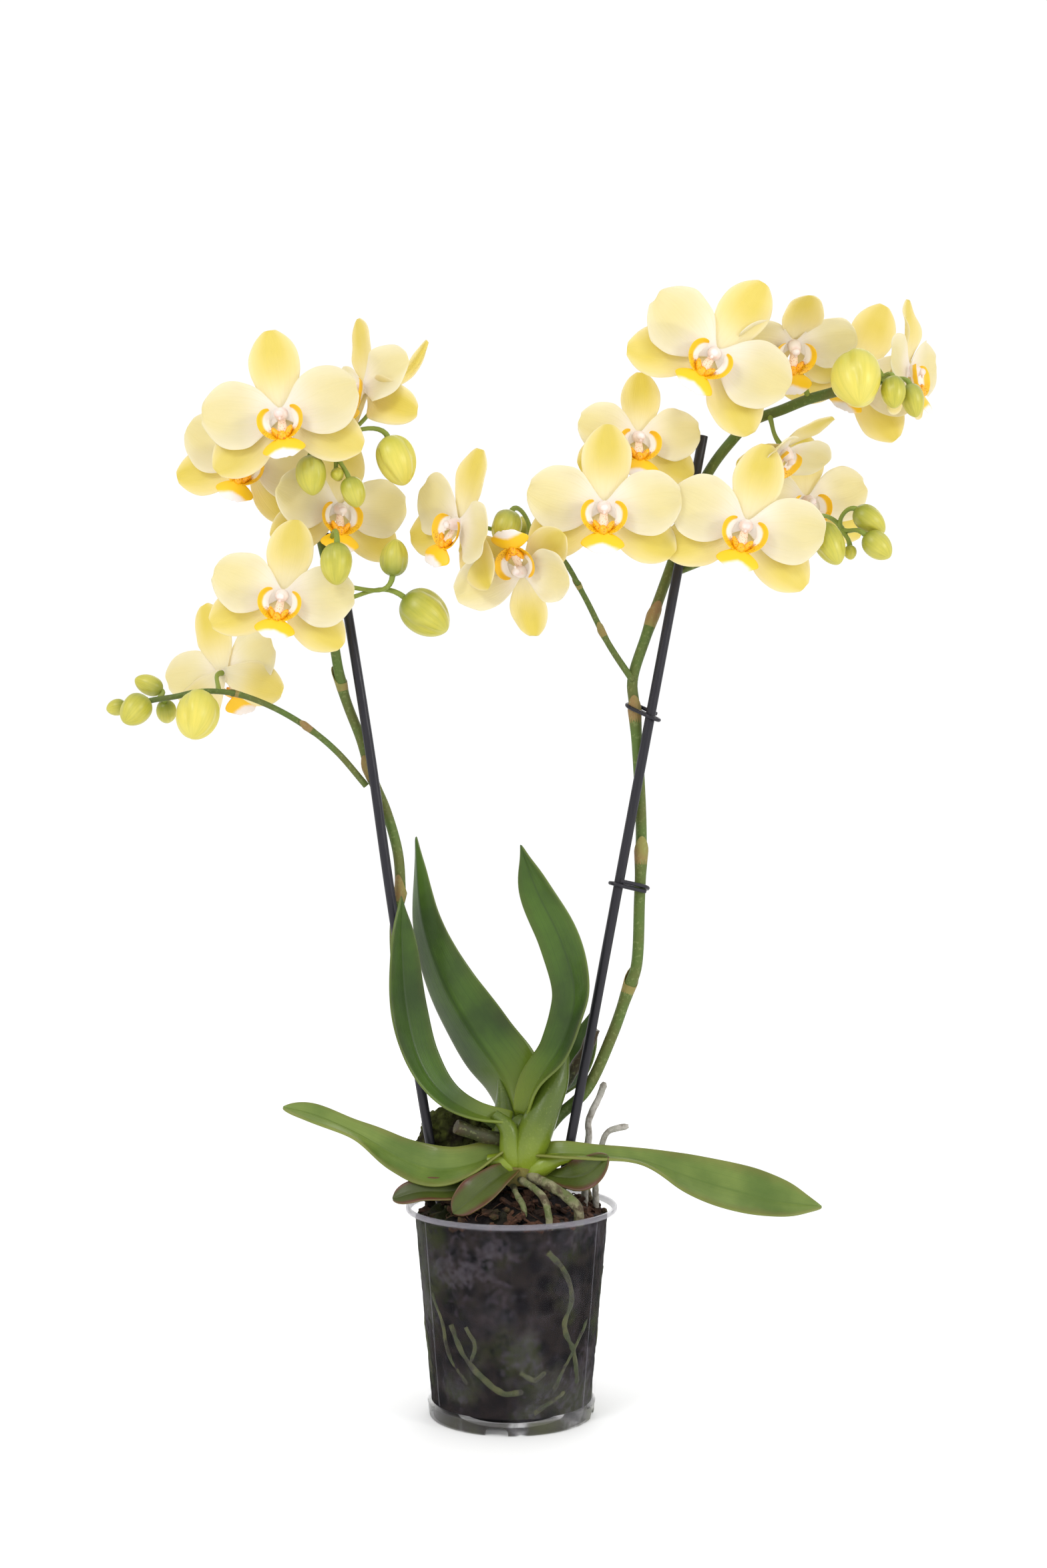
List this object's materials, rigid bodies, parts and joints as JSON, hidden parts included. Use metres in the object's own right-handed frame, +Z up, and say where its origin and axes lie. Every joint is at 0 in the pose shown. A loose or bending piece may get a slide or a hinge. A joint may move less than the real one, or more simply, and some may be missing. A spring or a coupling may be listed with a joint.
{
  "type": "potted orchid",
  "caption": "Potted moth orchid: pale yellow flowers and buds on staked spikes, strap leaves and roots in a clear nursery pot of bark.",
  "frame": {"origin": "centre of the pot's underside, on the surface that it stands on", "axes": "+Z up, front of the plant towards -Y, +X to the right as the plant is seen from its front"},
  "size_m": [0.4708, 0.1218, 0.6356],
  "materials": {
    "clear_plastic": "clear, slightly hazed",
    "black_plastic": "satin",
    "bark_mix": "rough bark chips",
    "moss": "fibrous peat and moss",
    "young_leaf": "waxy",
    "leaf": "waxy, satin gloss",
    "reddish_leaf": "waxy, flushed red-brown",
    "stem": "matte green",
    "dry_stalk": "dry, fibrous",
    "root": "papery velamen",
    "petal": "soft, slightly translucent",
    "bud": "waxy"
  },
  "bodies": {
    "root": {"pot": "clear_plastic", "potting_mix": "bark_mix", "moss_block": "moss", "crown": "young_leaf", "leaf_tall_left": "leaf", "leaf_front_left": "leaf", "leaf_tall_right": "leaf", "leaf_back_right": "leaf", "leaf_low_left": "leaf", "leaf_low_right": "leaf", "leaf_small_left": "reddish_leaf", "leaf_small_front": "reddish_leaf", "leaf_small_right": "reddish_leaf", "root_front_thick": "root", "root_front_thin": "root", "root_front_broken": "root", "root_upright": "root", "root_pale": "root", "root_back": "root", "root_wall_left": "root", "root_wall_right": "root", "flower_left_top": "petal", "flower_left_behind": "petal", "flower_left_front": "petal", "flower_left_back": "petal", "flower_left_side": "petal", "flower_left_low": "petal", "flower_middle_left": "petal", "flower_middle_hanging": "petal", "flower_middle_front": "petal", "flower_middle_behind": "petal", "flower_right_top": "petal", "flower_right_nodding": "petal", "flower_right_behind": "petal", "flower_right_end": "petal", "flower_right_side": "petal", "flower_right_front": "petal", "flower_right_low": "petal", "bud_left_top": "bud", "bud_left_inner": "bud", "bud_left_centre": "bud", "bud_left_upright": "bud", "bud_left_low": "bud", "bud_left_opening": "bud", "bud_middle": "bud", "bud_right_opening": "bud", "bud_right_low": "bud", "spike_left": "stem", "spike_right": "stem", "branch_left": "stem", "branch_middle": "stem", "branch_right": "stem", "old_spike_left": "dry_stalk", "old_spike_right": "dry_stalk", "stake_left": "black_plastic", "stake_right": "black_plastic", "clip_right_high": "black_plastic", "clip_right_low": "black_plastic", "clip_left": "black_plastic"}
  },
  "joints": []
}
